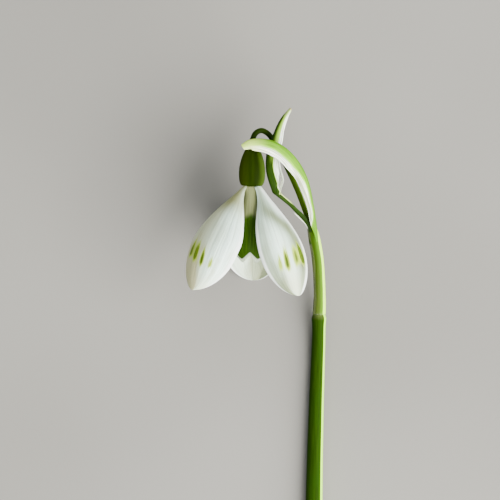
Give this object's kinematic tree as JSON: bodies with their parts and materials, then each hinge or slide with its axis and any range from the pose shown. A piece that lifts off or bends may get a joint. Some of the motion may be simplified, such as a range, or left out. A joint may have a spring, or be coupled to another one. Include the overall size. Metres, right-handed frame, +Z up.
{
  "type": "snowdrop flower",
  "caption": "Cut snowdrop lying on its side: nodding white bloom with green marks on an arched stalk, with its spathe and leafless scape.",
  "frame": {"origin": "on the surface it lies on, under the middle of its bounding box", "axes": "+Z up; +Y along the scape from its cut end to the bloom end; +X to the side the scape lies on, seen from above with the bloom end up"},
  "size_m": [0.0296, 0.1191, 0.0274],
  "materials": {
    "scape": "smooth waxy green stalk with fine lengthwise ribs",
    "spathe": "green keels with papery white membranes",
    "pedicel": "smooth dark green stalk",
    "ovary": "dark olive green, slightly glossy",
    "outer_tepal": "white petal with faint veins and green stripes",
    "inner_tepal": "white petal with a dark green mark",
    "anther": "matte orange-yellow pollen",
    "style": "pale cream green"
  },
  "bodies": {
    "root": {"scape": "scape", "spathe": "spathe", "pedicel": "pedicel", "ovary": "ovary", "outer_tepal_left": "outer_tepal", "outer_tepal_right": "outer_tepal", "outer_tepal_back": "outer_tepal", "inner_tepal_front": "inner_tepal", "inner_tepal_left": "inner_tepal", "inner_tepal_right": "inner_tepal", "stamens": "anther", "style": "style"}
  },
  "joints": []
}
